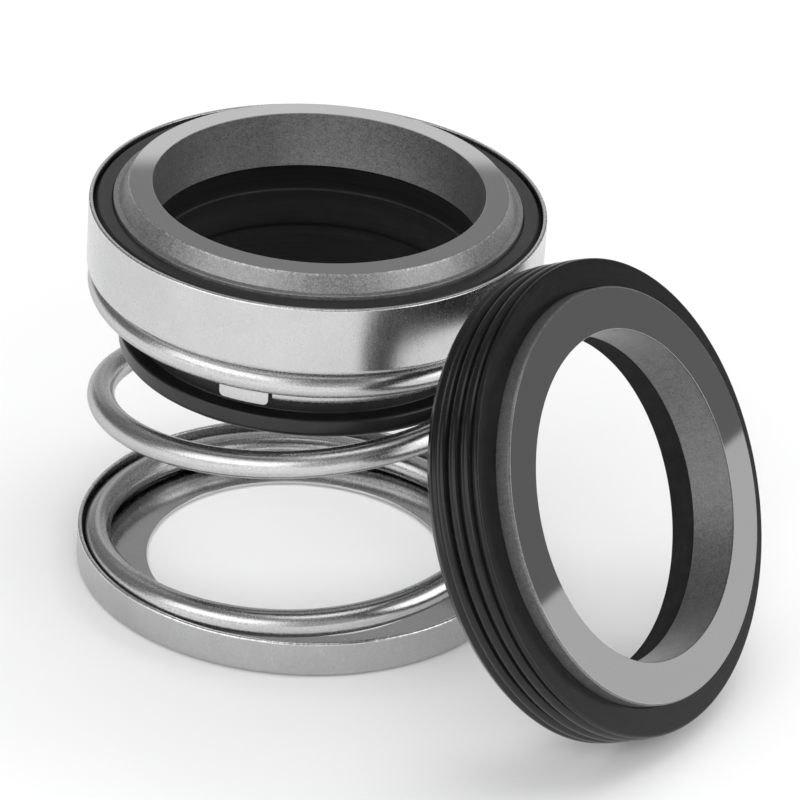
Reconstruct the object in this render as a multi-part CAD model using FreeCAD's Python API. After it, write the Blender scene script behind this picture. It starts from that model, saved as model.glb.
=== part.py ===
import FreeCAD, Part
import math
import os

# Pump shaft seal with a rubber bellows, standing upright on its lower spring ring,
# and its seat (hard ring in a ribbed rubber cup) leaning against it.
# Millimetres. The head axis is Z, the table is z = 0.

V = FreeCAD.Vector
os.makedirs("parts", exist_ok=True)

# ---- lower spring ring (pressed sheet, L section)
SHEET = 0.6
LOW_R = 31.05            # outer radius
LOW_H = 5.4              # height of its wall
LOW_HOLE_R = 21.25
LOW_CORNER_R = 0.95

# ---- spring (round wire)
WIRE_R = 1.9
# turn angle in degrees, height of the wire centre, radius of the wire centre
COIL = [
    (326.0, 2.54, 28.30), (343.0, 2.54, 28.30), (360.0, 2.54, 28.30),
    (405.0, 2.58, 28.30), (450.0, 2.72, 28.30), (495.0, 3.10, 28.32),
    (540.0, 3.95, 28.34), (570.0, 4.94, 28.34), (600.0, 5.86, 28.34),
    (630.0, 6.90, 28.34), (665.0, 8.75, 28.34), (720.0, 12.55, 28.34),
    (765.0, 15.90, 28.35), (810.0, 19.25, 28.36), (855.0, 22.40, 28.38),
    (900.0, 25.55, 28.42), (945.0, 28.65, 28.46), (990.0, 31.75, 28.50),
    (1025.0, 34.15, 28.55), (1080.0, 37.90, 28.65), (1125.0, 40.75, 28.75),
    (1170.0, 42.95, 28.82), (1200.0, 43.80, 28.85), (1230.0, 44.15, 28.88),
    (1260.0, 44.22, 28.90), (1305.0, 44.22, 28.90), (1350.0, 44.22, 28.90),
    (1395.0, 44.22, 28.90), (1435.0, 44.22, 28.90),
]

# ---- case (pressed sheet round the bellows head)
CASE_R = 31.0
CASE_Z0 = 46.3
CASE_Z1 = 56.2
CASE_CORNER_R = 0.9
COLLAR_R = 26.4          # outer radius of the turned-down collar
SKIRT_Z = 39.0           # lowest point of the curled skirt
SKIRT_CURL_R = 1.75
SKIRT_ARCS = [(259.9, 86.0), (79.9, 86.0)]     # start angle, sweep
TAB_ARCS = [(243.7, 15.0), (63.7, 15.0)]
TAB_Z = 38.75
TAB_CORNER_R = 0.7

# ---- rubber bellows
HEAD_R = 30.36
HEAD_Z0 = 46.95
HEAD_Z1 = 56.0
POCKET_R = 27.74
NECK_R = 25.76
NECK_Z = 38.25
TAIL_R = 26.3
TAIL_Z0 = 34.4
TAIL_Z1 = 37.1
SHAFT_R = 19.9

# ---- rotary face ring
FACE_BORE_R = 22.5
FACE_R = 25.6            # flat lapped face
FACE_CONE_R = 26.9
FACE_BODY_R = 27.7
FACE_Z0 = 50.65
FACE_Z1 = 58.7
FACE_LEDGE_Z = 56.5

# ---- seat (own axis: face plane at 0, depth goes to minus)
SEAT_BORE_R = 22.1
SEAT_R = 27.8
SEAT_T = 6.73
SEAT_CHAMFER = 0.25
CUP_R = 32.0
CUP_GROOVE_R = 31.2
CUP_FRONT = 2.05
CUP_BACK = 10.94
CUP_LIP_R = 22.8
CUP_GROOVES = (3.12, 5.12, 7.12)
SEAT_AZ = -31.3          # heading of the face normal in plan, degrees
SEAT_EL = 27.1           # elevation of the face normal, degrees
SEAT_C = (44.1, -33.7, 32.95)


def profile(items):
    """Closed face in the XZ plane; items are (r, z) or ('a', mid, end)."""
    edges = []
    cur = items[0]
    for it in items[1:] + [items[0]]:
        if it[0] == "a":
            m, e = it[1], it[2]
            edges.append(Part.Arc(V(cur[0], 0, cur[1]), V(m[0], 0, m[1]), V(e[0], 0, e[1])).toShape())
            cur = e
        else:
            if abs(it[0] - cur[0]) + abs(it[1] - cur[1]) > 1e-7:
                edges.append(Part.makeLine(V(cur[0], 0, cur[1]), V(it[0], 0, it[1])))
            cur = it
    return Part.Face(Part.Wire(edges))


def turned(items, sweep=360.0, start=0.0):
    s = profile(items).revolve(V(0, 0, 0), V(0, 0, 1), sweep)
    if start:
        s.rotate(V(0, 0, 0), V(0, 0, 1), start)
    return s


def arc(cx, cz, r, a0, a1):
    """Arc item from angle a0 to a1 (degrees) round (cx, cz)."""
    m = math.radians(0.5 * (a0 + a1))
    e = math.radians(a1)
    return ("a", (cx + r * math.cos(m), cz + r * math.sin(m)), (cx + r * math.cos(e), cz + r * math.sin(e)))


def save(shape, name):
    shape.exportStep("parts/" + name + ".step")


# lower spring ring: flat floor with a large hole, rounded outer corner, low wall
t = SHEET
rc = LOW_CORNER_R
e = 0.15
low = turned([
    (LOW_HOLE_R, 0.0), (LOW_R - rc, 0.0), arc(LOW_R - rc, rc, rc, -90, 0),
    (LOW_R, LOW_H - e), arc(LOW_R - e, LOW_H - e, e, 0, 90),
    (LOW_R - t + e, LOW_H), arc(LOW_R - t + e, LOW_H - e, e, 90, 180),
    (LOW_R - t, rc), arc(LOW_R - rc, rc, rc - t, 0, -90),
    (LOW_HOLE_R, t),
])
save(low, "lower_ring")


# spring: round wire swept along the measured coil
def mono(xs, ys):
    """Slopes of a shape-preserving cubic through the table."""
    n = len(xs)
    h = [xs[i + 1] - xs[i] for i in range(n - 1)]
    d = [(ys[i + 1] - ys[i]) / h[i] for i in range(n - 1)]
    m = [d[0]] + [0.0] * (n - 2) + [d[-1]]
    for i in range(1, n - 1):
        if d[i - 1] * d[i] > 0:
            w1 = 2 * h[i] + h[i - 1]
            w2 = h[i] + 2 * h[i - 1]
            m[i] = (w1 + w2) / (w1 / d[i - 1] + w2 / d[i])
    return m


def table(xs, ys, m, x):
    i = 0
    while i < len(xs) - 2 and x > xs[i + 1]:
        i += 1
    h = xs[i + 1] - xs[i]
    s = (x - xs[i]) / h
    return ((1 + 2 * s) * (1 - s) ** 2 * ys[i] + s * (1 - s) ** 2 * h * m[i]
            + s * s * (3 - 2 * s) * ys[i + 1] + s * s * (s - 1) * h * m[i + 1])


ta = [c[0] for c in COIL]
tz = [c[1] for c in COIL]
tr = [c[2] for c in COIL]
mz, mr = mono(ta, tz), mono(ta, tr)
pts = []
steps = int((ta[-1] - ta[0]) / 12.0) + 1
for i in range(steps + 1):
    a = ta[0] + (ta[-1] - ta[0]) * i / steps
    r = table(ta, tr, mr, a)
    pts.append(V(r * math.cos(math.radians(a)), r * math.sin(math.radians(a)), table(ta, tz, mz, a)))
path = Part.BSplineCurve()
path.interpolate(pts)
tan0 = path.tangent(path.FirstParameter)[0]
circle = Part.Wire([Part.Circle(pts[0], tan0, WIRE_R).toShape()])
spring = Part.Wire([path.toShape()]).makePipeShell([circle], True, True)
if spring.ShapeType != "Solid":
    spring = spring.Solids[0]
save(spring, "spring")

# case: tall wall, inward flange over the top coil, collar turned down inside it
# with two curled skirts and two straight tabs
rc = CASE_CORNER_R
case = turned([
    (COLLAR_R - t, CASE_Z0 + t), (COLLAR_R - t, CASE_Z0 - 0.6), (COLLAR_R, CASE_Z0 - 0.6),
    (COLLAR_R, CASE_Z0), (CASE_R - rc, CASE_Z0), arc(CASE_R - rc, CASE_Z0 + rc, rc, -90, 0),
    (CASE_R, CASE_Z1 - 0.25), arc(CASE_R - 0.25, CASE_Z1 - 0.25, 0.25, 0, 90),
    (CASE_R - t + 0.15, CASE_Z1), arc(CASE_R - t + 0.15, CASE_Z1 - 0.15, 0.15, 90, 180),
    (CASE_R - t, CASE_Z0 + rc), arc(CASE_R - rc, CASE_Z0 + rc, rc - t, 0, -90),
])
cr = SKIRT_CURL_R
cc = COLLAR_R - cr
for a0, sw in SKIRT_ARCS:
    sk = turned([
        (COLLAR_R, CASE_Z0 - 0.3), (COLLAR_R - t, CASE_Z0 - 0.3), (COLLAR_R - t, SKIRT_Z + cr),
        arc(cc, SKIRT_Z + cr, cr - t, 0, -80),
        (cc + cr * math.cos(math.radians(-80)), SKIRT_Z + cr + cr * math.sin(math.radians(-80))),
        arc(cc, SKIRT_Z + cr, cr, -80, 0),
    ], sw, a0)
    case = case.fuse(sk)
for a0, sw in TAB_ARCS:
    tab = turned([(COLLAR_R, CASE_Z0 - 0.3), (COLLAR_R - t, CASE_Z0 - 0.3),
                  (COLLAR_R - t, TAB_Z), (COLLAR_R, TAB_Z)], sw, a0)
    vert = []
    for ed in tab.Edges:
        bb = ed.BoundBox
        if bb.ZMax < TAB_Z + 0.01 and ed.Length < t + 0.05:
            vert.append(ed)
    tab = tab.makeFillet(TAB_CORNER_R, vert)
    case = case.fuse(tab)
case = case.removeSplitter()
if case.ShapeType != "Solid":
    case = case.Solids[0]
save(case, "case")

# rubber bellows: head round the face ring, neck, groove, tail that grips the shaft
nr = 1.1
bellows = turned([
    (SHAFT_R, TAIL_Z0 + 0.5), (SHAFT_R + 0.5, TAIL_Z0),
    (TAIL_R - 0.9, TAIL_Z0), arc(TAIL_R - 0.9, TAIL_Z0 + 0.9, 0.9, -90, 0),
    (TAIL_R, TAIL_Z1 - 0.3), arc(TAIL_R - 0.3, TAIL_Z1 - 0.3, 0.3, 0, 90),
    (24.3, TAIL_Z1), (24.1, TAIL_Z1 + 0.2), (24.1, SKIRT_Z + 0.75),
    (NECK_R - nr, SKIRT_Z + 0.75), arc(NECK_R - nr, SKIRT_Z + 0.75 + nr, nr, -90, 0),
    (NECK_R, HEAD_Z0),
    (HEAD_R - 0.5, HEAD_Z0), (HEAD_R, HEAD_Z0 + 0.5),
    (HEAD_R, HEAD_Z1 - 1.2), (HEAD_R - 0.42, HEAD_Z1 - 0.25), (HEAD_R - 0.62, HEAD_Z1),
    (POCKET_R + 0.12, HEAD_Z1), (POCKET_R, HEAD_Z1 - 0.3),
    (POCKET_R, FACE_Z0 - 0.04),
    (23.3, FACE_Z0 - 0.04), (23.1, 47.9), (22.25, 47.25), (22.07, 47.0),
    (20.95, 42.5), (21.2, 42.15), (21.05, 41.9), (20.25, 41.8), (SHAFT_R, 41.5),
])
save(bellows, "bellows")

# rotary face ring: flat face, steep cone, narrow ledge, straight body and bore
face_ring = turned([
    (FACE_BORE_R, FACE_Z0), (FACE_BODY_R - 0.4, FACE_Z0), (FACE_BODY_R, FACE_Z0 + 0.4),
    (FACE_BODY_R, FACE_LEDGE_Z - 0.1), (FACE_BODY_R - 0.1, FACE_LEDGE_Z),
    (FACE_CONE_R, FACE_LEDGE_Z + 0.02), (FACE_R, FACE_Z1), (FACE_BORE_R + 0.08, FACE_Z1),
    (FACE_BORE_R, FACE_Z1 - 0.08),
])
save(face_ring, "face_ring")

# seat: ring and ribbed cup, turned on their own axis and then laid against the head
seat_ring = turned([
    (SEAT_BORE_R, -SEAT_T), (SEAT_R - 0.5, -SEAT_T), (SEAT_R, -SEAT_T + 0.5),
    (SEAT_R, -SEAT_CHAMFER), (SEAT_R - SEAT_CHAMFER, 0.0),
    (SEAT_BORE_R + 0.08, 0.0), (SEAT_BORE_R, -0.08),
])
g1, g2, g3 = CUP_GROOVES
pr = SEAT_R + 0.03
gh = 0.16
cup = turned([
    (CUP_LIP_R, -SEAT_T - 0.03), (pr, -SEAT_T - 0.03), (pr, -CUP_FRONT),
    (CUP_R - 0.55, -CUP_FRONT), ("a", (CUP_R - 0.14, -CUP_FRONT - 0.19), (CUP_R - 0.05, -CUP_FRONT - 0.5)),
    (CUP_GROOVE_R, -g1 + gh * 0.5), (CUP_GROOVE_R, -g1 - gh * 0.5),
    ("a", (CUP_R, -0.5 * (g1 + g2)), (CUP_GROOVE_R, -g2 + gh)), (CUP_GROOVE_R, -g2 - gh * 0.5),
    ("a", (CUP_R, -0.5 * (g2 + g3)), (CUP_GROOVE_R, -g3 + gh)), (CUP_GROOVE_R, -g3 - gh * 0.5),
    ("a", (CUP_R, -g3 - 0.95), (CUP_R - 0.3, -g3 - 1.74)),
    (CUP_R - 0.12, -CUP_BACK + 1.66), (CUP_R - 0.12, -CUP_BACK + 1.3),
    ("a", (CUP_R - 0.47, -CUP_BACK + 0.36), (CUP_R - 1.35, -CUP_BACK)),
    (CUP_LIP_R, -CUP_BACK),
])
az, el = math.radians(SEAT_AZ), math.radians(SEAT_EL)
normal = V(math.cos(el) * math.cos(az), math.cos(el) * math.sin(az), math.sin(el))
place = FreeCAD.Placement(V(*SEAT_C), FreeCAD.Rotation(V(0, 0, 1), normal))
for shape, name in ((seat_ring, "seat_ring"), (cup, "seat_cup")):
    shape.Placement = place.multiply(shape.Placement)
    save(shape, name)
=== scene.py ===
import bpy
import math
import numpy as np
from mathutils import Matrix, Vector


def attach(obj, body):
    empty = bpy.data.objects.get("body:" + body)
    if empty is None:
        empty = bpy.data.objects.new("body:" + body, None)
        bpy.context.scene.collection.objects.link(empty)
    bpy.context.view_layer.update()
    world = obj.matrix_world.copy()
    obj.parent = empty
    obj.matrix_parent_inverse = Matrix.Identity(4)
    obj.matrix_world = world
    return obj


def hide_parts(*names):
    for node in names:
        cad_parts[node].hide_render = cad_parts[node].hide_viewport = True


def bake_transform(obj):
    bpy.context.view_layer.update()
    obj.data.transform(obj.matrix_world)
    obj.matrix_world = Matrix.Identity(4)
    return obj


# Looks of a pump shaft seal: every piece is rebuilt in mesh code at the size that
# the frame gives, with its real edge roundings. Lengths are in millimetres here
# and go to metres when a mesh is made.

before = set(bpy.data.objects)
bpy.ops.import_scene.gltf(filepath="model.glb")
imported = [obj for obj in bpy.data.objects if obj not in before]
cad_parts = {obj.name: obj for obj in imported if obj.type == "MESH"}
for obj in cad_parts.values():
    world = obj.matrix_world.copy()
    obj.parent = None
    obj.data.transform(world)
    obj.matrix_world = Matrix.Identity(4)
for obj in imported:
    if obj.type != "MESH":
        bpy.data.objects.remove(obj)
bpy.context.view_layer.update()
MM = 0.001
scene = bpy.context.scene

# ------------------------------------------------------------------ dimensions
SHEET = 0.6
LOW_R, LOW_H, LOW_HOLE_R, LOW_CORNER_R = 31.05, 5.4, 21.25, 0.95
WIRE_R = 1.9
COIL = [
    (326.0, 2.54, 28.30), (343.0, 2.54, 28.30), (360.0, 2.54, 28.30),
    (405.0, 2.58, 28.30), (450.0, 2.72, 28.30), (495.0, 3.10, 28.32),
    (540.0, 3.95, 28.34), (570.0, 4.94, 28.34), (600.0, 5.86, 28.34),
    (630.0, 6.90, 28.34), (665.0, 8.75, 28.34), (720.0, 12.55, 28.34),
    (765.0, 15.90, 28.35), (810.0, 19.25, 28.36), (855.0, 22.40, 28.38),
    (900.0, 25.55, 28.42), (945.0, 28.65, 28.46), (990.0, 31.75, 28.50),
    (1025.0, 34.15, 28.55), (1080.0, 37.90, 28.65), (1125.0, 40.75, 28.75),
    (1170.0, 42.95, 28.82), (1200.0, 43.80, 28.85), (1230.0, 44.15, 28.88),
    (1260.0, 44.22, 28.90), (1305.0, 44.22, 28.90), (1350.0, 44.22, 28.90),
    (1395.0, 44.22, 28.90), (1435.0, 44.22, 28.90),
]
CASE_R, CASE_Z0, CASE_Z1, CASE_CORNER_R = 31.0, 46.3, 56.2, 0.9
COLLAR_R, SKIRT_Z, SKIRT_CURL_R = 26.4, 39.0, 1.75
SKIRT_ARCS = [(259.9, 86.0), (79.9, 86.0)]
TAB_ARCS = [(243.7, 15.0), (63.7, 15.0)]
TAB_Z, TAB_CORNER_R = 38.75, 0.7
HEAD_R, HEAD_Z0, HEAD_Z1 = 30.36, 46.95, 56.0
POCKET_R, NECK_R = 27.74, 25.76
TAIL_R, TAIL_Z0, TAIL_Z1, SHAFT_R = 26.3, 34.4, 37.1, 19.9
FACE_BORE_R, FACE_R, FACE_CONE_R, FACE_BODY_R = 22.5, 25.6, 26.9, 27.7
FACE_Z0, FACE_Z1, FACE_LEDGE_Z = 50.65, 58.7, 56.5
SEAT_BORE_R, SEAT_R, SEAT_T, SEAT_CHAMFER = 22.1, 27.8, 6.73, 0.25
CUP_R, CUP_GROOVE_R, CUP_FRONT, CUP_BACK, CUP_LIP_R = 32.0, 31.2, 2.05, 10.94, 22.8
CUP_GROOVES = (3.12, 5.12, 7.12)
SEAT_AZ, SEAT_EL = -31.3, 27.1
SEAT_C = (44.1, -33.7, 32.95)


# ------------------------------------------------------------------ mesh helpers
def rounded(points, seg=5):
    """Closed profile in the (r, z) half plane, counter-clockwise. Each point is (r, z) or
    (r, z, fillet radius). Gives the points and the normals at both ends of each side."""
    n = len(points)
    pos = [np.array(p[:2], float) for p in points]
    rad = [p[2] if len(p) > 2 else 0.0 for p in points]
    runs = []                                   # per corner: list of (point, normal in, normal out)
    for i in range(n):
        a, b, c = pos[i - 1], pos[i], pos[(i + 1) % n]
        u, v = b - a, c - b
        u, v = u / np.linalg.norm(u), v / np.linalg.norm(v)
        nu, nv = np.array([u[1], -u[0]]), np.array([v[1], -v[0]])
        turn = math.atan2(u[0] * v[1] - u[1] * v[0], u @ v)
        if rad[i] <= 0 or abs(turn) < 1e-4:
            runs.append([(b, nu, nv)])
            continue
        cut = rad[i] * math.tan(abs(turn) / 2)
        cut = min(cut, 0.495 * np.linalg.norm(b - a), 0.495 * np.linalg.norm(c - b))
        r = cut / math.tan(abs(turn) / 2)
        s = 1.0 if turn > 0 else -1.0
        centre = b - u * cut - nu * r * s
        k = max(2, int(math.ceil(seg * abs(turn) / (math.pi / 2))))
        corner = []
        for j in range(k + 1):
            t = turn * j / k
            nj = np.array([nu[0] * math.cos(t) - nu[1] * math.sin(t), nu[0] * math.sin(t) + nu[1] * math.cos(t)])
            corner.append((centre + nj * r * s, nj, nj))
        runs.append(corner)
    flat = [p for run in runs for p in run]
    m = len(flat)
    pts = np.array([p[0] for p in flat])
    ns = np.array([p[2] for p in flat])                              # normal at the start of side i
    ne = np.array([flat[(i + 1) % m][1] for i in range(m)])          # normal at the end of side i
    return pts, ns, ne


class Builder:
    """Collects faces with exact corner normals and shares equal corners."""

    def __init__(self):
        self.index, self.verts, self.faces, self.normals = {}, [], [], []

    def vert(self, p):
        key = (round(p[0], 5), round(p[1], 5), round(p[2], 5))
        i = self.index.get(key)
        if i is None:
            i = self.index[key] = len(self.verts)
            self.verts.append((float(p[0]), float(p[1]), float(p[2])))
        return i

    def face(self, corners, normals):
        ids = [self.vert(c) for c in corners]
        keep = [k for k in range(len(ids)) if ids[k] != ids[k - 1]]
        if len(keep) < 3:
            return
        self.faces.append([ids[k] for k in keep])
        self.normals.extend([tuple(normals[k]) for k in keep])

    def lathe(self, prof, angles, skip=None, closed=True):
        """Turns a closed profile through the angles (degrees). prof is (pts, ns, ne), or a list of
        them, one per angle. skip(side, step) leaves that face out."""
        per = prof if isinstance(prof, list) else [prof] * len(angles)
        cs = [(math.cos(math.radians(a)), math.sin(math.radians(a))) for a in angles]
        steps = len(angles) if closed else len(angles) - 1
        for j in range(steps):
            k = (j + 1) % len(angles)
            (p0, s0, e0), (p1, s1, e1) = per[j], per[k]
            (c0, n0), (c1, n1) = cs[j], cs[k]
            m = len(p0)
            for i in range(m):
                if skip and skip(i, j):
                    continue
                q = (i + 1) % m
                if np.hypot(*(p0[i] - p0[q])) < 1e-7 and np.hypot(*(p1[i] - p1[q])) < 1e-7:
                    continue
                self.face(
                    [(p0[i][0] * c0, p0[i][0] * n0, p0[i][1]), (p1[i][0] * c1, p1[i][0] * n1, p1[i][1]),
                     (p1[q][0] * c1, p1[q][0] * n1, p1[q][1]), (p0[q][0] * c0, p0[q][0] * n0, p0[q][1])],
                    [(s0[i][0] * c0, s0[i][0] * n0, s0[i][1]), (s1[i][0] * c1, s1[i][0] * n1, s1[i][1]),
                     (e1[i][0] * c1, e1[i][0] * n1, e1[i][1]), (e0[i][0] * c0, e0[i][0] * n0, e0[i][1])])

    def cap(self, pairs, angle, side):
        """Closes a cut edge of a sheet: pairs are the matching points on its two skins."""
        c, s = math.cos(math.radians(angle)), math.sin(math.radians(angle))
        nrm = (-s * side, c * side, 0.0)
        for (a, b), (a2, b2) in zip(pairs, pairs[1:]):
            quad = [a, b, b2, a2]
            pts = [(p[0] * c, p[0] * s, p[1]) for p in quad]
            v1, v2 = np.subtract(pts[1], pts[0]), np.subtract(pts[3], pts[0])
            if np.dot(np.cross(v1, v2), nrm) < 0:
                pts = pts[::-1]
            self.face(pts, [nrm] * 4)

    def make(self, name, place=None):
        """Mesh object in metres, with local millimetre coordinates kept in an attribute."""
        me = bpy.data.meshes.new(name)
        local = np.array(self.verts, float)
        nrm = np.array(self.normals, float)
        world = local.copy()
        if place is not None:
            rot = np.array(place.to_3x3())
            world = local @ rot.T + np.array(place.translation)
            nrm = nrm @ rot.T
        me.from_pydata((world * MM).tolist(), [], self.faces)
        me.polygons.foreach_set("use_smooth", [True] * len(me.polygons))
        at = me.attributes.new("loc", "FLOAT_VECTOR", "POINT")
        at.data.foreach_set("vector", local.astype(np.float32).ravel())
        me.validate()
        nrm = nrm / np.linalg.norm(nrm, axis=1)[:, None]
        me.normals_split_custom_set(nrm.tolist())
        me.update()
        ob = bpy.data.objects.new(name, me)
        scene.collection.objects.link(ob)
        return ob


def ring_angles(n, extra=()):
    a = sorted(set([round(360.0 * i / n, 4) for i in range(n)] + [round(e % 360.0, 4) for e in extra]))
    keep = []
    fixed = set(round(e % 360.0, 4) for e in extra)
    for x in a:
        if keep and x - keep[-1] < 0.2 and x not in fixed:
            continue
        if keep and x - keep[-1] < 0.2 and keep[-1] not in fixed:
            keep.pop()
        keep.append(x)
    return keep


def turned(name, points, seg=6, n=288, place=None):
    """A whole turned piece: the profile repeated round the axis, with exact normals."""
    pts, ns, ne = rounded(points, seg)
    m = len(pts)
    f = np.arange(n) * 2 * math.pi / n
    c, s = np.cos(f)[:, None], np.sin(f)[:, None]
    ring = lambda q: np.stack([q[:, 0] * c, q[:, 0] * s, q[:, 1] + 0 * c], -1)       # (n, m, 3)
    local = ring(pts).reshape(-1, 3)
    j, i = np.meshgrid(np.arange(n), np.arange(m), indexing="ij")
    k, q = (j + 1) % n, (i + 1) % m
    faces = np.stack([j * m + i, k * m + i, k * m + q, j * m + q], -1).reshape(-1, 4)
    a, b = ring(ns), ring(ne)
    normals = np.stack([a[j, i], a[k, i], b[k, i], b[j, i]], 2).reshape(-1, 3)
    bd = Builder()
    bd.verts, bd.faces, bd.normals = local, faces.tolist(), normals
    return bd.make(name, place)


# ------------------------------------------------------------------ lower spring ring
lower = turned("lower_ring_sheet", [
    (LOW_HOLE_R, 0.0, 0.12), (LOW_R, 0.0, LOW_CORNER_R), (LOW_R, LOW_H, 0.27),
    (LOW_R - SHEET, LOW_H, 0.17), (LOW_R - SHEET, SHEET, LOW_CORNER_R - SHEET), (LOW_HOLE_R, SHEET, 0.12),
], seg=8, n=360)
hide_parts("lower_ring")
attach(lower, "stand")


# ------------------------------------------------------------------ spring
def mono(xs, ys):
    n = len(xs)
    h = [xs[i + 1] - xs[i] for i in range(n - 1)]
    d = [(ys[i + 1] - ys[i]) / h[i] for i in range(n - 1)]
    m = [d[0]] + [0.0] * (n - 2) + [d[-1]]
    for i in range(1, n - 1):
        if d[i - 1] * d[i] > 0:
            w1, w2 = 2 * h[i] + h[i - 1], h[i] + 2 * h[i - 1]
            m[i] = (w1 + w2) / (w1 / d[i - 1] + w2 / d[i])
    return m


def table(xs, ys, m, x):
    i = 0
    while i < len(xs) - 2 and x > xs[i + 1]:
        i += 1
    h = xs[i + 1] - xs[i]
    s = (x - xs[i]) / h
    return ((1 + 2 * s) * (1 - s) ** 2 * ys[i] + s * (1 - s) ** 2 * h * m[i]
            + s * s * (3 - 2 * s) * ys[i + 1] + s * s * (s - 1) * h * m[i + 1])


ta, tz, tr = [c[0] for c in COIL], [c[1] for c in COIL], [c[2] for c in COIL]
mz, mr = mono(ta, tz), mono(ta, tr)


def make_spring():
    sides = 48
    n = 900
    line = []
    for i in range(n + 1):
        a = ta[0] + (ta[-1] - ta[0]) * i / n
        r = table(ta, tr, mr, a)
        line.append((r * math.cos(math.radians(a)), r * math.sin(math.radians(a)), table(ta, tz, mz, a)))
    line = np.array(line)
    tan = np.gradient(line, axis=0)
    tan /= np.linalg.norm(tan, axis=1)[:, None]
    run = np.concatenate([[0.0], np.cumsum(np.linalg.norm(np.diff(line, axis=0), axis=1))])
    # rings: (index, scale of the section, shift along the wire); both ends are sheared and filed
    rings = [(0, 0.0, 0.0), (0, 0.80, 0.0), (0, 0.93, 0.05), (0, 0.985, 0.16)]
    rings += [(i, 1.0, 0.0) for i in range(1, n)]
    rings += [(n, 0.985, -0.16), (n, 0.93, -0.05), (n, 0.80, 0.0), (n, 0.0, 0.0)]
    verts, coords, centre_z, faces = [], [], [], []
    for i, k, sh in rings:
        c = line[i] + tan[i] * sh
        out = np.array([c[0], c[1], 0.0])
        out -= tan[i] * (out @ tan[i])
        out /= np.linalg.norm(out)
        up = np.cross(tan[i], out)
        up = up if up[2] > 0 else -up
        for j in range(1 if k == 0 else sides):
            f = 2 * math.pi * j / sides
            v = out * math.cos(f) + up * math.sin(f)
            verts.append(c + v * WIRE_R * k)
            coords.append((run[i] + sh, math.cos(f) * WIRE_R, math.sin(f) * WIRE_R))
            centre_z.append(c[2])
    start = [0]
    for i, k, sh in rings:
        start.append(start[-1] + (1 if k == 0 else sides))
    for q in range(len(rings) - 1):
        a, b = start[q], start[q + 1]
        for j in range(sides):
            k = (j + 1) % sides
            if rings[q][1] == 0:
                faces.append((a, b + k, b + j))
            elif rings[q + 1][1] == 0:
                faces.append((a + j, a + k, b))
            else:
                faces.append((a + j, a + k, b + k, b + j))
    me = bpy.data.meshes.new("spring_wire")
    me.from_pydata((np.array(verts) * MM).tolist(), [], faces)
    me.polygons.foreach_set("use_smooth", [True] * len(me.polygons))
    at = me.attributes.new("loc", "FLOAT_VECTOR", "POINT")
    at.data.foreach_set("vector", np.array(coords, np.float32).ravel())
    me.validate()
    me.update()
    ob = bpy.data.objects.new("spring_wire", me)
    scene.collection.objects.link(ob)
    return ob, np.array(centre_z)


spring, spring_z = make_spring()
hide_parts("spring")
Z_LOW, Z_TOP = 2.6, 44.15
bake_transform(spring)
# every cross-section of the wire is round; w is a weight up the coil from Z_LOW to Z_TOP, which nothing reads
w = np.clip((spring_z - Z_LOW) / (Z_TOP - Z_LOW), 0, 1)
w = 0.55 * w + 0.45 * w * w * (3 - 2 * w)


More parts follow.
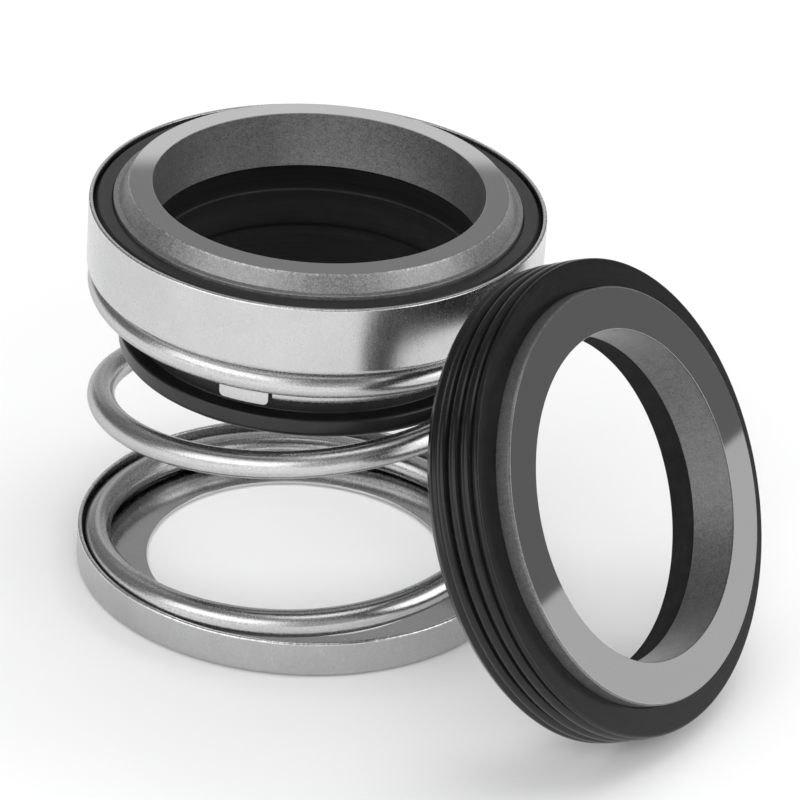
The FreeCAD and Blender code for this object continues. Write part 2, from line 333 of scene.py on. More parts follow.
# ------------------------------------------------------------------ case
def make_case():
    t = SHEET
    b = Builder()
    extra = []
    for a0, sw in SKIRT_ARCS:
        extra += [a0, a0 + sw]
    corner = math.degrees(TAB_CORNER_R / COLLAR_R)
    for a0, sw in TAB_ARCS:
        extra += [a0, a0 + sw] + [a0 + corner * (1 - math.cos(x * math.pi / 16)) for x in range(1, 9)]
        extra += [a0 + sw - corner * (1 - math.cos(x * math.pi / 16)) for x in range(1, 9)]
    angles = ring_angles(360, extra)
    stub = CASE_Z0 - 0.6
    main = rounded([
        (COLLAR_R - t, stub), (COLLAR_R, stub), (COLLAR_R, CASE_Z0, 0.25), (CASE_R, CASE_Z0, CASE_CORNER_R),
        (CASE_R, CASE_Z1, 0.25), (CASE_R - t, CASE_Z1, 0.15), (CASE_R - t, CASE_Z0 + t, CASE_CORNER_R - t),
        (COLLAR_R - t, CASE_Z0 + t, 0.85),
    ], 8)

    def inside(a, arcs):
        return any(((a - a0) % 360.0) < sw - 1e-6 for a0, sw in arcs)

    steps = [inside(a, SKIRT_ARCS + TAB_ARCS) for a in angles]
    b.lathe(main, angles, skip=lambda i, j: i == 0 and steps[j])

    def wing(arcs, outline):
        """outline(angle, start, sweep) gives the two skins from the stub down to the free edge."""
        for a0, sw in arcs:
            inner = [a for a in angles if ((a - a0) % 360.0) <= sw + 1e-6 or abs((a - a0) % 360.0 - 360) < 1e-6]
            inner.sort(key=lambda a: (a - a0) % 360.0 if abs((a - a0) % 360.0 - 360) > 1e-3 else 0.0)
            prof = []
            for a in inner:
                outer, inn = outline(a, a0, sw)
                loop = outer + inn[::-1]
                pts = np.array(loop)
                m = len(pts)
                ns, ne = np.zeros((m, 2)), np.zeros((m, 2))
                ko = len(outer)
                nrm = []
                for s in range(m):
                    d0, d1 = pts[(s + 1) % m] - pts[s], pts[s] - pts[s - 1]
                    nrm.append((d0, d1))
                for s in range(m):
                    d = pts[(s + 1) % m] - pts[s]
                    L = np.linalg.norm(d)
                    d = d / L if L > 1e-9 else np.array([0.0, -1.0])
                    # going down the outer skin the solid is on the right, so flip below
                    ns[s] = ne[s] = np.array([-d[1], d[0]])
                for s in range(m):                # smooth along each skin
                    q = (s + 1) % m
                    if s not in (ko - 1, m - 1) and q not in (ko - 1, m - 1) and ns[s] @ ns[q] > 0.5:
                        av = ns[s] + ns[q]
                        av /= np.linalg.norm(av)
                        ne[s] = av
                        ns[q] = av.copy()
                prof.append((pts, ns, ne))
            # reverse each loop so that it runs counter-clockwise
            rev = []
            for pts, ns, ne in prof:
                m = len(pts)
                p2 = pts[::-1]
                s2 = np.array([ne[(m - 2 - i) % m] for i in range(m)])
                e2 = np.array([ns[(m - 2 - i) % m] for i in range(m)])
                rev.append((p2, s2, e2))
            m = len(rev[0][0])
            # the side that joins inner top to outer top is open: it meets the stub
            b.lathe(rev, inner, skip=lambda i, j: i == m - 1, closed=False)
            for a, side in ((inner[0], -1), (inner[-1], 1)):
                outer, inn = outline(a, a0, sw)
                b.cap(list(zip(outer, inn)), a, side)

    def skirt(a, a0, sw):
        cr, cc = SKIRT_CURL_R, COLLAR_R - SKIRT_CURL_R
        zc = SKIRT_Z + cr
        outer = [(COLLAR_R, stub)] + [(COLLAR_R, stub + (zc - stub) * k / 3) for k in (1, 2)]
        inner = [(COLLAR_R - t, stub)] + [(COLLAR_R - t, stub + (zc - stub) * k / 3) for k in (1, 2)]
        for k in range(13):
            f = math.radians(-80.0 * k / 12)
            outer.append((cc + cr * math.cos(f), zc + cr * math.sin(f)))
            inner.append((cc + (cr - t) * math.cos(f), zc + (cr - t) * math.sin(f)))
        return outer, inner

    def tab(a, a0, sw):
        d = min((a - a0) % 360.0, sw - (a - a0) % 360.0)
        d = max(0.0, math.radians(d) * COLLAR_R) if (a - a0) % 360.0 < 359.0 else 0.0
        z = TAB_Z
        if d < TAB_CORNER_R:
            z = TAB_Z + TAB_CORNER_R - math.sqrt(max(0.0, TAB_CORNER_R ** 2 - (TAB_CORNER_R - d) ** 2))
        zs = [stub, stub - 2.0, z + 1.2, z + 0.1]
        outer = [(COLLAR_R, q) for q in zs] + [(COLLAR_R - 0.03, z + 0.03), (COLLAR_R - 0.1, z)]
        inner = [(COLLAR_R - t, q) for q in zs] + [(COLLAR_R - t + 0.03, z + 0.03), (COLLAR_R - t + 0.1, z)]
        return outer, inner

    wing(SKIRT_ARCS, skirt)
    wing(TAB_ARCS, tab)
    return b.make("case_shell")


case = make_case()
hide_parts("case")
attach(case, "head")

# ------------------------------------------------------------------ bellows
bellows = turned("bellows_rubber_part", [
    (SHAFT_R, TAIL_Z0, 0.6), (TAIL_R, TAIL_Z0, 0.9), (TAIL_R, TAIL_Z1, 0.32), (24.1, TAIL_Z1, 0.25),
    (24.1, SKIRT_Z + 0.75, 0.3), (NECK_R, SKIRT_Z + 0.75, 1.1), (NECK_R, HEAD_Z0, 0.4),
    (HEAD_R, HEAD_Z0, 0.5), (HEAD_R, HEAD_Z1 - 0.72, 0.9), (HEAD_R - 0.62, HEAD_Z1, 0.25),
    (POCKET_R, HEAD_Z1, 0.22), (POCKET_R, FACE_Z0 - 0.04, 0.1),
    (23.3, FACE_Z0 - 0.04, 0.25), (23.1, 47.9, 0.4), (22.25, 47.25, 0.3), (22.07, 47.0, 0.3),
    (20.95, 42.5, 0.4), (21.2, 42.15, 0.15), (21.05, 41.9, 0.15), (20.25, 41.8, 0.2), (SHAFT_R, 41.5, 0.3),
], seg=6, n=288)
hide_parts("bellows")
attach(bellows, "head")

# ------------------------------------------------------------------ rotary face ring
face = turned("face_ring_carbide", [
    (FACE_BORE_R, FACE_Z0, 0.12), (FACE_BODY_R, FACE_Z0, 0.4), (FACE_BODY_R, FACE_LEDGE_Z, 0.12),
    (FACE_CONE_R, FACE_LEDGE_Z + 0.02, 0.14), (FACE_R, FACE_Z1, 0.05), (FACE_BORE_R, FACE_Z1, 0.09),
], seg=5, n=360)
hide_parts("face_ring")
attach(face, "head")

# ------------------------------------------------------------------ seat
az, el = math.radians(SEAT_AZ), math.radians(SEAT_EL)
normal = Vector((math.cos(el) * math.cos(az), math.cos(el) * math.sin(az), math.sin(el)))
zx = Vector((0, 0, 1)) - normal * normal.z
zx.normalize()                       # local +Y points up the face
xx = zx.cross(normal)
place = Matrix((xx, zx, normal)).transposed().to_4x4()
place.translation = Vector(SEAT_C)

seat = turned("seat_ring_carbide", [
    (SEAT_BORE_R, -SEAT_T, 0.15), (SEAT_R, -SEAT_T, 0.4), (SEAT_R, -SEAT_CHAMFER, 0.08),
    (SEAT_R - SEAT_CHAMFER, 0.0, 0.05), (SEAT_BORE_R, 0.0, 0.05),
], seg=5, n=360, place=place)
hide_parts("seat_ring")
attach(seat, "stand")


def rib(z0, z1, r0, r1, k=9):
    """Points of a round rib from depth z0 to z1: an arc whose crest is r1."""
    half, high = 0.5 * abs(z1 - z0), r1 - r0
    big = (half * half + high * high) / (2 * high)
    out = []
    for i in range(k + 1):
        x = -half + 2 * half * i / k
        out.append((r1 - big + math.sqrt(big * big - x * x), z0 + (z1 - z0) * i / k, 0.12))
    return out


g1, g2, g3 = CUP_GROOVES
gh = 0.08
cup_outline = [
    (CUP_LIP_R, -CUP_BACK, 0.5), (CUP_R - 1.1, -CUP_BACK, 0.9), (CUP_R - 0.12, -CUP_BACK + 1.3, 0.8),
    (CUP_R - 0.12, -CUP_BACK + 1.72, 0.3), (CUP_R - 0.3, -g3 - 1.74, 0.15),
]
cup_outline += rib(-g3 - 1.68, -g3 - gh, CUP_R - 0.6, CUP_R)[3:]
cup_outline += [(CUP_GROOVE_R + 0.06, -g3, 0.08)]
cup_outline += rib(-g3 + gh, -g2 - gh, CUP_GROOVE_R + 0.12, CUP_R)
cup_outline += [(CUP_GROOVE_R + 0.06, -g2, 0.08)]
cup_outline += rib(-g2 + gh, -g1 - gh, CUP_GROOVE_R + 0.12, CUP_R)
cup_outline += [
    (CUP_GROOVE_R + 0.06, -g1, 0.08), (CUP_R - 0.35, -CUP_FRONT - 0.72, 0.3), (CUP_R - 0.05, -CUP_FRONT - 0.45, 0.3),
    (CUP_R - 0.3, -CUP_FRONT, 0.3),
    (SEAT_R + 0.03, -CUP_FRONT, 0.15), (SEAT_R + 0.03, -SEAT_T - 0.03, 0.1), (CUP_LIP_R, -SEAT_T - 0.03, 0.25),
]
cup = turned("seat_cup_rubber", cup_outline, seg=5, n=288, place=place)
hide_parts("seat_cup")
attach(cup, "stand")


# ------------------------------------------------------------------ materials
class Nodes:
    def __init__(self, name):
        self.mat = bpy.data.materials.new(name)
        self.mat.use_nodes = True
        self.nt = self.mat.node_tree
        self.nt.nodes.clear()
        self.out = self.nt.nodes.new("ShaderNodeOutputMaterial")
        self.bsdf = self.nt.nodes.new("ShaderNodeBsdfPrincipled")
        self.link(self.bsdf.outputs[0], self.out.inputs[0])

    def link(self, a, b):
        self.nt.links.new(a, b)

    def node(self, kind, **kw):
        n = self.nt.nodes.new(kind)
        for k, v in kw.items():
            setattr(n, k, v)
        return n

    def put(self, sock, v):
        if hasattr(v, "is_output") or isinstance(v, bpy.types.NodeSocket):
            self.link(v, sock)
        else:
            sock.default_value = v

    def loc(self):
        a = self.node("ShaderNodeAttribute", attribute_name="loc", attribute_type="GEOMETRY")
        return a.outputs["Vector"]

    def scaled(self, vec, sx, sy, sz):
        m = self.node("ShaderNodeVectorMath", operation="MULTIPLY")
        self.link(vec, m.inputs[0])
        m.inputs[1].default_value = (sx, sy, sz)
        return m.outputs[0]

    def noise(self, vec, scale, detail=3.0, rough=0.55, dim="3D"):
        n = self.node("ShaderNodeTexNoise", noise_dimensions=dim)
        self.link(vec, n.inputs["Vector"])
        n.inputs["Scale"].default_value = scale
        n.inputs["Detail"].default_value = detail
        n.inputs["Roughness"].default_value = rough
        return n.outputs["Fac"]

    def voronoi(self, vec, scale, feature="F1", out="Distance", rnd=1.0):
        n = self.node("ShaderNodeTexVoronoi", feature=feature)
        self.link(vec, n.inputs["Vector"])
        n.inputs["Scale"].default_value = scale
        n.inputs["Randomness"].default_value = rnd
        return n.outputs[out]

    def sep(self, vec):
        s = self.node("ShaderNodeSeparateXYZ")
        self.link(vec, s.inputs[0])
        return s.outputs

    def math(self, op, a, b=0.0, c=0.0, clamp=False):
        m = self.node("ShaderNodeMath", operation=op, use_clamp=clamp)
        self.put(m.inputs[0], a)
        self.put(m.inputs[1], b)
        self.put(m.inputs[2], c)
        return m.outputs[0]

    def remap(self, v, a, b, c, d, smooth=False):
        m = self.node("ShaderNodeMapRange", interpolation_type="SMOOTHSTEP" if smooth else "LINEAR")
        self.put(m.inputs["Value"], v)
        m.inputs["From Min"].default_value = a
        m.inputs["From Max"].default_value = b
        m.inputs["To Min"].default_value = c
        m.inputs["To Max"].default_value = d
        return m.outputs[0]

    def mix(self, f, a, b):
        m = self.node("ShaderNodeMix", data_type="RGBA")
        self.put(m.inputs[0], f)
        self.put(m.inputs[6], a if not isinstance(a, float) else (a, a, a, 1))
        self.put(m.inputs[7], b if not isinstance(b, float) else (b, b, b, 1))
        return m.outputs[2]

    def grey(self, v):
        c = self.node("ShaderNodeCombineColor")
        for k in range(3):
            self.put(c.inputs[k], v)
        return c.outputs[0]

    def bump(self, height, dist, strength=1.0, normal=None):
        n = self.node("ShaderNodeBump")
        n.inputs["Distance"].default_value = dist
        n.inputs["Strength"].default_value = strength
        self.link(height, n.inputs["Height"])
        if normal is not None:
            self.link(normal, n.inputs["Normal"])
        return n.outputs[0]

    def polar(self, vec):
        """radius and height of the piece's own coordinates, with cosine and sine of the angle."""
        s = self.sep(vec)
        flat = self.node("ShaderNodeVectorMath", operation="MULTIPLY")
        self.link(vec, flat.inputs[0])
        flat.inputs[1].default_value = (1, 1, 0)
        ln = self.node("ShaderNodeVectorMath", operation="LENGTH")
        self.link(flat.outputs[0], ln.inputs[0])
        un = self.node("ShaderNodeVectorMath", operation="NORMALIZE")
        self.link(flat.outputs[0], un.inputs[0])
        return ln.outputs["Value"], s[2], un.outputs[0]

    def combine(self, x, y, z):
        c = self.node("ShaderNodeCombineXYZ")
        self.put(c.inputs[0], x)
        self.put(c.inputs[1], y)
        self.put(c.inputs[2], z)
        return c.outputs[0]

    def set(self, name, v):
        self.put(self.bsdf.inputs[name], v)


def turning(m, vec, around, across):
    """Coordinates for marks that run round the axis: slow along the turn, quick across it."""
    r, z, u = m.polar(vec)
    a = m.scaled(u, around, around, 0.0)
    b = m.combine(0.0, 0.0, m.math("MULTIPLY", m.math("ADD", r, m.math("MULTIPLY", z, 1.37)), across))
    add = m.node("ShaderNodeVectorMath", operation="ADD")
    m.link(a, add.inputs[0])
    m.link(b, add.inputs[1])
    return add.outputs[0]


def mottle(m, vec, radius, around, along):
    """Coordinates for a grain on a turned sheet: turn length, height and radius, in mm."""
    r, z, u = m.polar(vec)
    a = m.scaled(u, radius * around, radius * around, 0.0)
    b = m.combine(0.0, 0.0, m.math("MULTIPLY", m.math("ADD", z, m.math("MULTIPLY", r, 1.3)), along))
    add = m.node("ShaderNodeVectorMath", operation="ADD")
    m.link(a, add.inputs[0])
    m.link(b, add.inputs[1])
    return add.outputs[0]


def steel_sheet(name, base, rough, grain, aniso, edge, flat=None):
    """Satin rolled sheet. edge = (height, tone): a painted highlight on the top rim: over that height
    the tone is lighter by about that tone, dotted by the grain. flat = (height, radius, roughness): the part under
    that height and inside that radius is brighter drawn, as it lay against the press tool."""
    m = Nodes(name)
    v = m.loc()
    speck = m.noise(mottle(m, v, 31.0, 3.6, 3.2), 1.0, 2.0, 0.7)
    brush = m.noise(mottle(m, v, 31.0, 1.3, 0.35), 1.0, 3.0, 0.6)
    cloud = m.noise(v, 0.16, 3.0, 0.55)
    nick = m.remap(m.voronoi(v, 0.42, out="Distance"), 0.0, 0.03, 1.0, 0.0)
    tone = m.math("ADD", m.remap(speck, 0.3, 0.7, -grain, grain), m.remap(cloud, 0.3, 0.7, base - 0.02, base + 0.02))
    tone = m.math("ADD", tone, m.remap(brush, 0.3, 0.7, -0.25 * grain, 0.25 * grain))
    tone = m.math("SUBTRACT", tone, m.math("MULTIPLY", nick, 0.10))
    # painted highlight: the tone over the edge height is raised, dotted by the speck grain, for light caught on the
    # rounded top rim
    rim_highlight = m.math("MULTIPLY", m.math("GREATER_THAN", m.sep(v)[2], edge[0]), m.remap(speck, 0.35, 0.65, 0.4, 1.6))
    tone = m.math("ADD", tone, m.math("MULTIPLY", rim_highlight, edge[1]))
    m.set("Metallic", 1.0)
    body = m.math("ADD", m.remap(speck, 0.3, 0.7, -0.02, 0.02), m.remap(brush, 0.3, 0.7, rough - 0.02, rough + 0.02))
    if flat:
        r, z, u = m.polar(v)
        drawn = m.math("MULTIPLY", m.math("LESS_THAN", z, flat[0]), m.math("LESS_THAN", r, flat[1]))
        shine = m.math("ADD", m.remap(speck, 0.3, 0.7, -0.015, 0.02), flat[2])
        body = m.sep(m.mix(drawn, m.grey(body), m.grey(shine)))[0]
        dust = m.remap(m.voronoi(v, 0.7, out="Distance"), 0.05, 0.11, 0.35, 0.0)
        tone = m.math("ADD", tone, m.math("MULTIPLY", drawn, m.math("ADD", dust, 0.10)))
    m.set("Base Color", m.grey(tone))
    m.set("Roughness", body)
    m.set("Anisotropic", aniso)
    m.set("Anisotropic Rotation", 0.25)
    t = m.node("ShaderNodeTangent", direction_type="RADIAL", axis="Z")
    m.set("Tangent", t.outputs[0])
    m.set("Normal", m.bump(speck, 0.000003, 0.3))
    return m.mat


def wire_steel(name, base, rough):
    m = Nodes(name)
    v = m.loc()                                     # x along the wire, y and z round it
    draw = m.noise(m.scaled(v, 0.07, 2.6, 2.6), 1.0, 3.0, 0.6)
    grain = m.noise(m.scaled(v, 3.4, 4.2, 4.2), 1.0, 2.0, 0.7)
    cloud = m.noise(m.scaled(v, 0.12, 0.5, 0.5), 1.0, 3.0, 0.5)
    tone = m.math("ADD", m.remap(draw, 0.3, 0.7, base - 0.07, base + 0.07), m.remap(grain, 0.3, 0.7, -0.09, 0.09))
    m.set("Base Color", m.grey(m.math("MINIMUM", tone, 0.97)))
    m.set("Metallic", 1.0)
    m.set("Specular Tint", (0.7, 0.7, 0.7, 1.0))
    fine = m.math("ADD", m.remap(grain, 0.3, 0.7, -0.03, 0.03), m.remap(cloud, 0.3, 0.7, -0.03, 0.03))
    m.set("Roughness", m.math("ADD", fine, m.remap(draw, 0.3, 0.7, rough - 0.03, rough + 0.03)))
    m.set("Normal", m.bump(draw, 0.00002, 0.5, m.bump(grain, 0.00002, 0.5)))
    return m.mat


def carbide(name, dark, light, flat_z, hi_r, edge, outer, bevel):
    """Sintered ring: granular as-fired sides, finely lapped flat face. outer = painted light: how much lighter the
    outside is painted than the bore, as more light falls on it; bevel = the factor on that side tone in the last
    0.25 mm below the lapped face; edge = a painted highlight dotted along the lapped edge."""
    m = Nodes(name)
    v = m.loc()
    r, z, u = m.polar(v)
    lapped = m.math("MULTIPLY", m.math("GREATER_THAN", z, flat_z - 0.02), m.math("LESS_THAN", r, hi_r))
    raw = m.math("SUBTRACT", 1.0, lapped)
    grain = m.voronoi(v, 6.2, out="Color")
    gs = m.sep(grain)[0]
    fine = m.noise(v, 7.5, 2.0, 0.7)
    cloud = m.noise(v, 0.9, 3.0, 0.6)
    spark = m.remap(m.voronoi(v, 3.6, out="Distance"), 0.05, 0.20, 1.0, 0.0)
    side = m.math("ADD", m.remap(gs, 0.0, 1.0, dark, light), m.remap(cloud, 0.3, 0.7, -0.02, 0.02))
    side = m.math("ADD", side, m.math("MULTIPLY", spark, 0.18))
    # painted light: the outer side is made lighter than the bore by the factor outer
    side = m.math("MULTIPLY", side, m.remap(r, 24.0, 25.0, 1.0, outer))
    side = m.math("MULTIPLY", side, m.remap(z, flat_z - 0.27, flat_z - 0.25, 1.0, bevel))
    rim = m.remap(m.math("ABSOLUTE", m.math("SUBTRACT", r, hi_r)), 0.06, 0.16, 1.0, 0.0)
    # painted highlight: a dotted bright line in the tone along the lapped edge, where light glints on it
    edge_glints = m.remap(m.noise(v, 3.2, 2.0, 0.7), 0.5, 0.62, 0.0, edge)
    side = m.math("ADD", side, m.math("MULTIPLY", m.math("MULTIPLY", rim, edge_glints), m.math("GREATER_THAN", z, flat_z - 0.6)))
    micro = m.noise(v, 3.0, 4.0, 0.7)
    face_tone = m.remap(micro, 0.3, 0.7, 0.49, 0.515)
    m.set("Base Color", m.mix(lapped, m.grey(side), m.grey(face_tone)))
    m.set("Metallic", m.math("ADD", 0.8, m.math("MULTIPLY", lapped, 0.2)))
    rough_side = m.remap(gs, 0.0, 1.0, 0.28, 0.46)
    rough_face = m.remap(micro, 0.3, 0.7, 0.012, 0.022)
    m.set("Roughness", m.sep(m.mix(lapped, m.grey(rough_side), m.grey(rough_face)))[0])
    h = m.math("MULTIPLY", m.math("ADD", gs, fine), raw)
    m.set("Normal", m.bump(h, 0.00002, 0.5))
    return m.mat


def rubber(name, tone, rough, spec, inner_r, bore_light_steps=None, bore=1.0):
    """Moulded rubber, a little shiny outside and dull inside its bore (radius under inner_r).
    The steps up the bore, as (height, share of the tone), are painted light and shade: a painted highlight on a
    ledge, painted shade on darker steps, lighter painted streaks between. bore = share of the tone in a bore without
    such steps."""
    m = Nodes(name)
    v = m.loc()
    r, z, u = m.polar(v)
    inside = m.remap(r, inner_r, inner_r + 0.15, 1.0, 0.0)
    fine = m.noise(v, 7.0, 4.0, 0.6)
    cloud = m.noise(v, 0.5, 3.0, 0.55)
    dust = m.remap(m.voronoi(v, 1.05, out="Distance"), 0.0, 0.09, 1.0, 0.0)
    wipe = m.noise(turning(m, v, 2.2, 1.6), 1.0, 3.0, 0.6)
    lines = m.noise(turning(m, v, 3.0, 4.0), 1.0, 3.0, 0.6)
    t = m.math("ADD", m.remap(fine, 0.3, 0.7, tone * 0.7, tone * 1.3), m.remap(cloud, 0.3, 0.7, -0.25 * tone, 0.25 * tone))
    t = m.math("ADD", t, m.math("MULTIPLY", dust, 0.03))
    # painted light and shade up the bore: the steps scale the tone, streaked by the lines noise
    if bore_light_steps:
        z0, z1 = bore_light_steps[0][0], bore_light_steps[-1][0]
        ramp = m.node("ShaderNodeValToRGB")
        while len(ramp.color_ramp.elements) < len(bore_light_steps):
            ramp.color_ramp.elements.new(0.5)
        for e, (h, k) in zip(ramp.color_ramp.elements, bore_light_steps):
            e.position = (h - z0) / (z1 - z0)
            e.color = (k, k, k, 1)
        m.link(m.remap(z, z0, z1, 0.0, 1.0), ramp.inputs[0])
        painted_bore_light = m.math("MULTIPLY", m.sep(ramp.outputs[0])[0], m.remap(lines, 0.3, 0.7, 0.75, 1.25))
        k = m.math("ADD", m.math("MULTIPLY", inside, painted_bore_light), m.math("SUBTRACT", 1.0, inside))
        t = m.math("MULTIPLY", t, k)
    else:
        t = m.math("MULTIPLY", t, m.math("ADD", m.math("MULTIPLY", inside, bore - 1.0), 1.0))
    m.set("Base Color", m.grey(t))
    outer = m.math("ADD", m.remap(fine, 0.3, 0.7, -0.03, 0.03), m.remap(wipe, 0.3, 0.7, rough - 0.05, rough + 0.05))
    m.set("Roughness", m.math("ADD", outer, m.math("MULTIPLY", inside, 0.92 - rough)))
    m.set("Specular IOR Level", spec)
    m.set("Normal", m.bump(fine, 0.000025, 0.3, m.bump(lines, 0.00002, 0.3)))
    return m.mat


mats = {
    # the edge pairs paint a highlight on the top rim of each sheet
    "lower": steel_sheet("pressed_sheet_steel", 0.50, 0.25, 0.036, 0.5, (LOW_H - 0.3, 0.28), (0.9, 30.2, 0.13)),
    "case": steel_sheet("case_sheet_steel", 0.59, 0.26, 0.022, 0.5, (CASE_Z1 - 0.26, 0.14)),
    "wire": wire_steel("drawn_wire_steel", 0.60, 0.25),
    # the carbide edge amounts (0.24 and 0.06) paint a dotted highlight on the lapped edge
    "face": carbide("rotary_carbide", 0.20, 0.36, FACE_Z1, FACE_R + 0.05, 0.24, 1.0, 1.0),
    # seat: outer 1.25 paints light on the outer side, bevel 0.68 darkens that tone just below the lapped face
    "seat": carbide("seat_carbide_sintered", 0.165, 0.26, 0.0, SEAT_R - 0.2, 0.06, 1.25, 0.68),
    # bellows bore: painted shade near black above z 47.3 under the face ring, a painted highlight on the ledge at z
    # 47.1 to 47.2, steps of painted light and shade lower down
    "bellows": rubber("bellows_moulded_rubber", 0.009, 0.34, 0.5, 24.0, (
        (41.0, 0.5), (41.9, 0.65), (42.15, 0.35), (42.5, 0.35), (43.4, 0.65), (45.2, 0.65), (46.2, 0.3),
        (47.0, 0.3), (47.1, 2.6), (47.2, 1.8), (47.3, 0.15), (48.2, 0.02), (51.0, 0.05))),
    "cup": rubber("cup_moulded_rubber", 0.0058, 0.18, 0.34, 23.2, bore=2.3),
}
for ob, key in ((lower, "lower"), (case, "case"), (spring, "wire"), (face, "face"), (seat, "seat"), (bellows, "bellows"), (cup, "cup")):
    ob.data.materials.clear()
    ob.data.materials.append(mats[key])


# ------------------------------------------------------------------ floor, lights, camera
def floor_plane():
    me = bpy.data.meshes.new("floor")
    s = 0.9
    me.from_pydata([(-s, -s, 0), (s, -s, 0), (s, s, 0), (-s, s, 0)], [], [(0, 1, 2, 3)])
    ob = bpy.data.objects.new("floor", me)
    scene.collection.objects.link(ob)
    m = Nodes("pale_floor")
    m.set("Base Color", (0.848, 0.848, 0.853, 1))
    m.set("Roughness", 0.55)
    m.set("Specular IOR Level", 0.3)
    me.materials.append(m.mat)
    return ob


floor = floor_plane()


def area(name, loc, target, sx, sy, power, colour=(1, 1, 1)):
    li = bpy.data.lights.new(name, "AREA")
    li.shape = "RECTANGLE"
    li.size, li.size_y = sx, sy
    li.energy = power
    li.color = colour
    ob = bpy.data.objects.new(name, li)
    scene.collection.objects.link(ob)
    ob.location = loc
    ob.rotation_mode = "QUATERNION"
    ob.rotation_quaternion = (Vector(target) - Vector(loc)).to_track_quat("-Z", "Y")
    return ob


# wide, even light for the floor and the matt surfaces; it isn't mirrored in the metal
for nm, lc, tg, sx, sy, pw in (
        ("fill_top", (-0.05, 0.35, 1.1), (0.0, 0.0, 0.0), 1.8, 1.6, 9.9),
        ("fill_right", (1.3, 0.45, 1.1), (0.0, 0.0, 0.02), 1.0, 1.0, 7.0),
        ("fill_front", (0.2, -1.2, 0.7), (0.0, 0.0, 0.02), 1.0, 0.9, 8.2)):
    o = area(nm, lc, tg, sx, sy, pw)
    o.visible_glossy = False

# a narrow lamp over the head: its light goes down the bore and brightens the floor in the ring
lamp = bpy.data.lights.new("bore_light", "SPOT")
lamp.energy, lamp.spot_size, lamp.spot_blend, lamp.shadow_soft_size = 2.0, 0.096, 0.1, 0.004
lamp_ob = bpy.data.objects.new("bore_light", lamp)
scene.collection.objects.link(lamp_ob)
lamp_ob.location = (0.0, 0.0, 0.6)
lamp_ob.visible_glossy = False


class Sky(Nodes):
    """The studio round the object, by direction: what the metal mirrors."""

    def __init__(self):
        world = bpy.data.worlds.new("studio")
        scene.world = world
        world.use_nodes = True
        self.nt = world.node_tree
        self.nt.nodes.clear()
        self.out = self.nt.nodes.new("ShaderNodeOutputWorld")
        self.bg = self.nt.nodes.new("ShaderNodeBackground")
        self.link(self.bg.outputs[0], self.out.inputs[0])
        tc = self.nt.nodes.new("ShaderNodeTexCoord")
        self.d = tc.outputs["Generated"]
        self.x, self.y, self.z = self.sep(self.d)

    def dot(self, v):
        n = self.node("ShaderNodeVectorMath", operation="DOT_PRODUCT")
        self.link(self.d, n.inputs[0])
        n.inputs[1].default_value = v
        return n.outputs["Value"]

    def ramp(self, v, a, b):
        """0 below a, 1 above b, smooth between; a may be above b."""
        if a < b:
            return self.remap(v, a, b, 0.0, 1.0, smooth=True)
        return self.remap(v, b, a, 1.0, 0.0, smooth=True)

    def times(self, *v):
        r = v[0]
        for q in v[1:]:
            r = self.math("MULTIPLY", r, q)
        return r

    def plus(self, *v):
        r = v[0]
        for q in v[1:]:
            r = self.math("ADD", r, q)
        return r

    def box(self, azim, elev, hu, hv, soft):
        """A soft-edged light round a direction: azimuth from +Y towards +X, half sizes as sines."""
        a, e = math.radians(azim), math.radians(elev)
        k = (math.sin(a) * math.cos(e), math.cos(a) * math.cos(e), math.sin(e))
        h = (math.cos(a), -math.sin(a), 0.0)
        w = (-math.sin(a) * math.sin(e), -math.cos(a) * math.sin(e), math.cos(e))
        u = self.math("ABSOLUTE", self.dot(h))
        v = self.math("ABSOLUTE", self.dot(w))
        return self.times(self.ramp(u, hu + soft, hu - soft), self.ramp(v, hv + soft, hv - soft), self.ramp(self.dot(k), 0.0, 0.1))


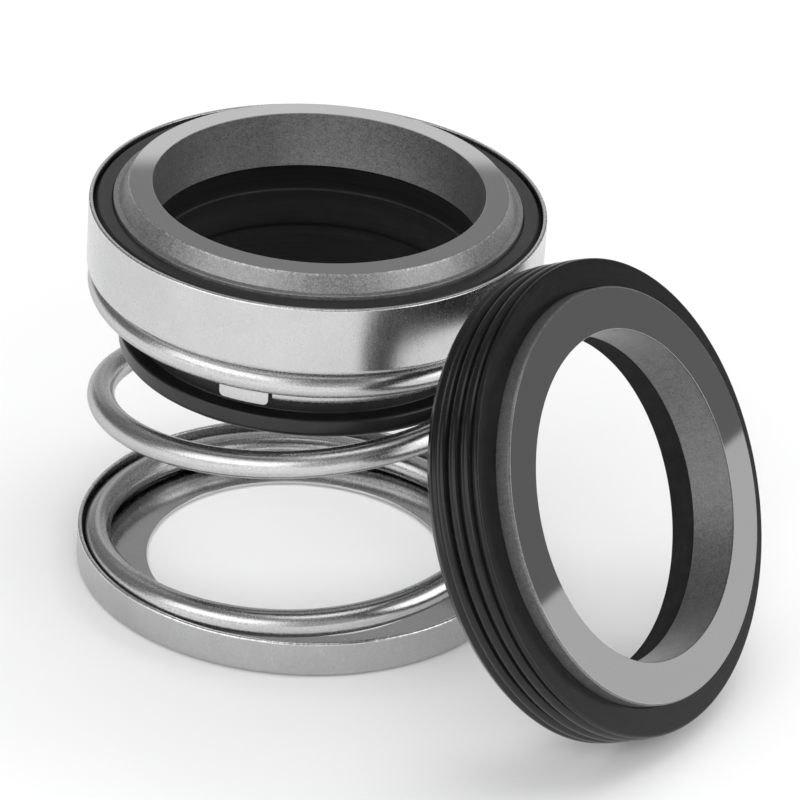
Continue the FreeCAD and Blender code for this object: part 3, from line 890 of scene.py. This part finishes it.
sky = Sky()
key = sky.times(sky.box(-134, 31, 0.46, 0.27, 0.13), 1.65)
front_low = sky.times(sky.box(-135, 5, 0.62, 0.24, 0.10), 0.62)
front_right = sky.times(sky.box(112, 22, 0.36, 0.40, 0.07), 1.8)
front_mid = sky.times(sky.box(172, 14, 0.46, 0.34, 0.12), 0.28)
overhead = sky.times(sky.ramp(sky.z, 0.955, 0.985), 0.60)
overhead_front = sky.times(sky.box(171, 78, 0.22, 0.15, 0.06), 1.2)
upper_back = sky.times(sky.box(-12, 50, 0.42, 0.22, 0.08), 0.20)
back = sky.times(sky.box(-2, 6, 0.42, 0.20, 0.08), 0.36)
strip_v = sky.math("ADD", sky.z, sky.math("MULTIPLY", sky.x, 0.0443))
strip = sky.times(sky.ramp(strip_v, 0.4428, 0.4392), sky.ramp(strip_v, 0.30, 0.36), sky.ramp(sky.math("ABSOLUTE", sky.x), 0.20, 0.12), sky.ramp(sky.y, 0.0, 0.1), 0.62)
ceiling = sky.times(sky.box(-5, 29, 0.16, 0.12, 0.06), 0.16)
low = sky.times(sky.ramp(sky.z, 0.0254, 0.0238), 0.55)
total = sky.plus(key, front_low, front_right, front_mid, overhead, overhead_front, upper_back, back, strip, ceiling, low, 0.19)
sky.link(sky.grey(total), sky.bg.inputs[0])
sky.bg.inputs[1].default_value = 1.0

cam_data = bpy.data.cameras.new("camera")
cam = bpy.data.objects.new("camera", cam_data)
scene.collection.objects.link(cam)
CAM_DIST, CAM_H, YAW, PITCH, ROLL = 603.925317, 359.112055, 0.0211579427, 0.5032426908, 0.0681387161
fwd = Vector((math.sin(YAW) * math.cos(PITCH), math.cos(YAW) * math.cos(PITCH), -math.sin(PITCH)))
right = fwd.cross(Vector((0, 0, 1))).normalized()
up = right.cross(fwd)
r2 = right * math.cos(ROLL) + up * math.sin(ROLL)
u2 = -right * math.sin(ROLL) + up * math.cos(ROLL)
pose = Matrix((r2, u2, -fwd)).transposed().to_4x4()
pose.translation = Vector((0, -CAM_DIST, CAM_H)) * MM
cam.matrix_world = pose
cam_data.sensor_width = 36.0
cam_data.lens = 225.0
cam_data.clip_start, cam_data.clip_end = 0.01, 20.0
scene.camera = cam
scene.view_settings.view_transform = "Standard"
scene.view_settings.look = "None"
